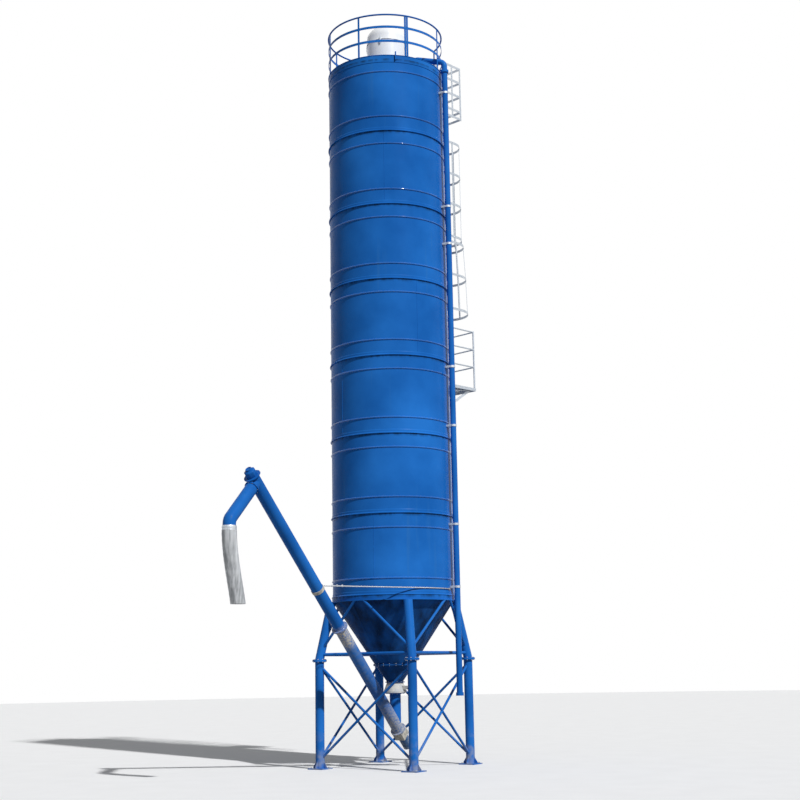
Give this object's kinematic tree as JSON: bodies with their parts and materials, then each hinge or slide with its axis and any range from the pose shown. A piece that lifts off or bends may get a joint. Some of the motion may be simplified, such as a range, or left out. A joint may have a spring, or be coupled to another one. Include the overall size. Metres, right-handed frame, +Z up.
{
  "type": "cement silo",
  "caption": "Upright cylindrical cement silo with hopper cone, braced tube legs, inclined screw conveyor, fill pipe, caged ladder and roof filter.",
  "frame": {"origin": "on the silo axis, level with the soles of the four foot plates", "axes": "+Z up along the silo axis, -Y the way the screw conveyor rises"},
  "size_m": [2.5501, 7.2043, 14.855],
  "materials": {
    "filter_white": "satin",
    "frame_paint": "gloss enamel",
    "galvanised": "hot-dip galvanised",
    "motor_paint": "satin",
    "shell_paint": "gloss enamel",
    "sleeve_plastic": "translucent",
    "worn_steel": "worn and dusty"
  },
  "bodies": {
    "root": {"bottom_ring": "shell_paint", "cross_braces": "frame_paint", "fill_pipe": "shell_paint", "fill_pipe_coupling": "shell_paint", "fill_pipe_elbow": "shell_paint", "filter_body": "filter_white", "filter_cover": "filter_white", "foot_plates": "frame_paint", "guardrail_1": "shell_paint", "guardrail_2": "shell_paint", "guardrail_3": "shell_paint", "hopper_cone": "shell_paint", "hopper_outlet": "shell_paint", "inlet_neck": "frame_paint", "ladder_cage": "galvanised", "ladder_cage_lower": "galvanised", "ladder_exit_cage": "galvanised", "ladders": "galvanised", "leg_ties": "frame_paint", "lifting_lugs": "frame_paint", "lower_legs": "frame_paint", "outlet_valve": "worn_steel", "pipe_clamps": "galvanised", "platform_floor": "galvanised", "platform_rail": "galvanised", "roof": "shell_paint", "roof_rim": "shell_paint", "screw_band": "galvanised", "screw_end_bearing": "frame_paint", "screw_gearbox": "worn_steel", "screw_motor": "motor_paint", "screw_spout": "frame_paint", "screw_tube_lower": "frame_paint", "screw_tube_upper": "frame_paint", "shell_course_1": "shell_paint", "shell_course_2": "shell_paint", "shell_course_3": "shell_paint", "shell_course_4": "shell_paint", "shell_course_5": "shell_paint", "shell_course_6": "shell_paint", "shell_course_7": "shell_paint", "shell_struts": "frame_paint", "spout_sleeve": "sleeve_plastic", "stay_cable": "galvanised", "upper_legs": "frame_paint"}
  },
  "joints": []
}
